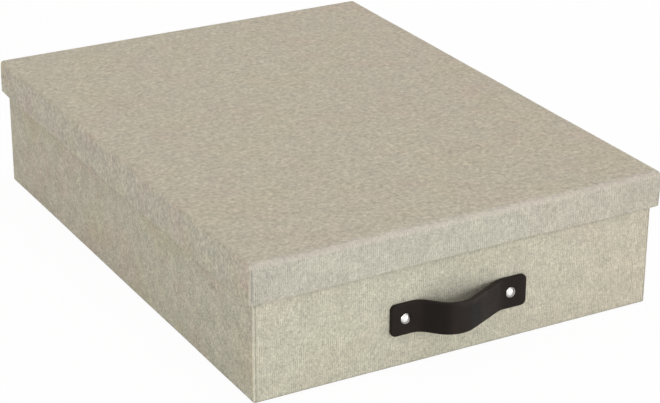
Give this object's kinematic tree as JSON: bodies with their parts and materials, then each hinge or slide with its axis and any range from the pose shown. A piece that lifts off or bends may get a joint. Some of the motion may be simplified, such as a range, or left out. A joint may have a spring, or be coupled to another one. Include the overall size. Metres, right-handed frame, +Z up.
{
  "type": "document box",
  "caption": "Flat cloth-covered document box with a shallow lift-off lid and a leather strap handle riveted to the front wall.",
  "frame": {"origin": "middle of the underside card's lower face, in the plane the box rests on", "axes": "+Z up, the way the lid lifts; +Y from the front wall with the handle to the back wall; +X to the right seen from the front"},
  "size_m": [0.26, 0.3627, 0.0825],
  "materials": {
    "board": "grey chipboard",
    "stay_paper": "brown gummed paper",
    "linen_cloth": "natural linen weave, matte",
    "lining_paper": "matte off-white paper",
    "underside_card": "matte greige card",
    "strap_leather": "smooth dark brown leather, semi-matte",
    "rivet_nickel": "polished nickel plate",
    "washer_steel": "plain zinc-plated steel"
  },
  "bodies": {
    "base": {"base_floor_board": "board", "base_front_board": "board", "base_back_board": "board", "base_left_board": "board", "base_right_board": "board", "base_corner_stays": "stay_paper", "base_wall_cloth": "linen_cloth", "base_underside_card": "underside_card", "base_wall_lining": "lining_paper", "base_floor_lining": "lining_paper", "handle_strap": "strap_leather", "left_rivet": "rivet_nickel", "right_rivet": "rivet_nickel", "left_washer": "washer_steel", "right_washer": "washer_steel"},
    "lid": {"lid_top_board": "board", "lid_front_board": "board", "lid_back_board": "board", "lid_left_board": "board", "lid_right_board": "board", "lid_corner_stays": "stay_paper", "lid_cover_cloth": "linen_cloth", "lid_lining": "lining_paper"}
  },
  "joints": [
    {"name": "lid_lift", "type": "slide", "parent": "base", "child": "lid", "axis": [0, 0, 1], "range_m": [0, 0.15]}
  ]
}
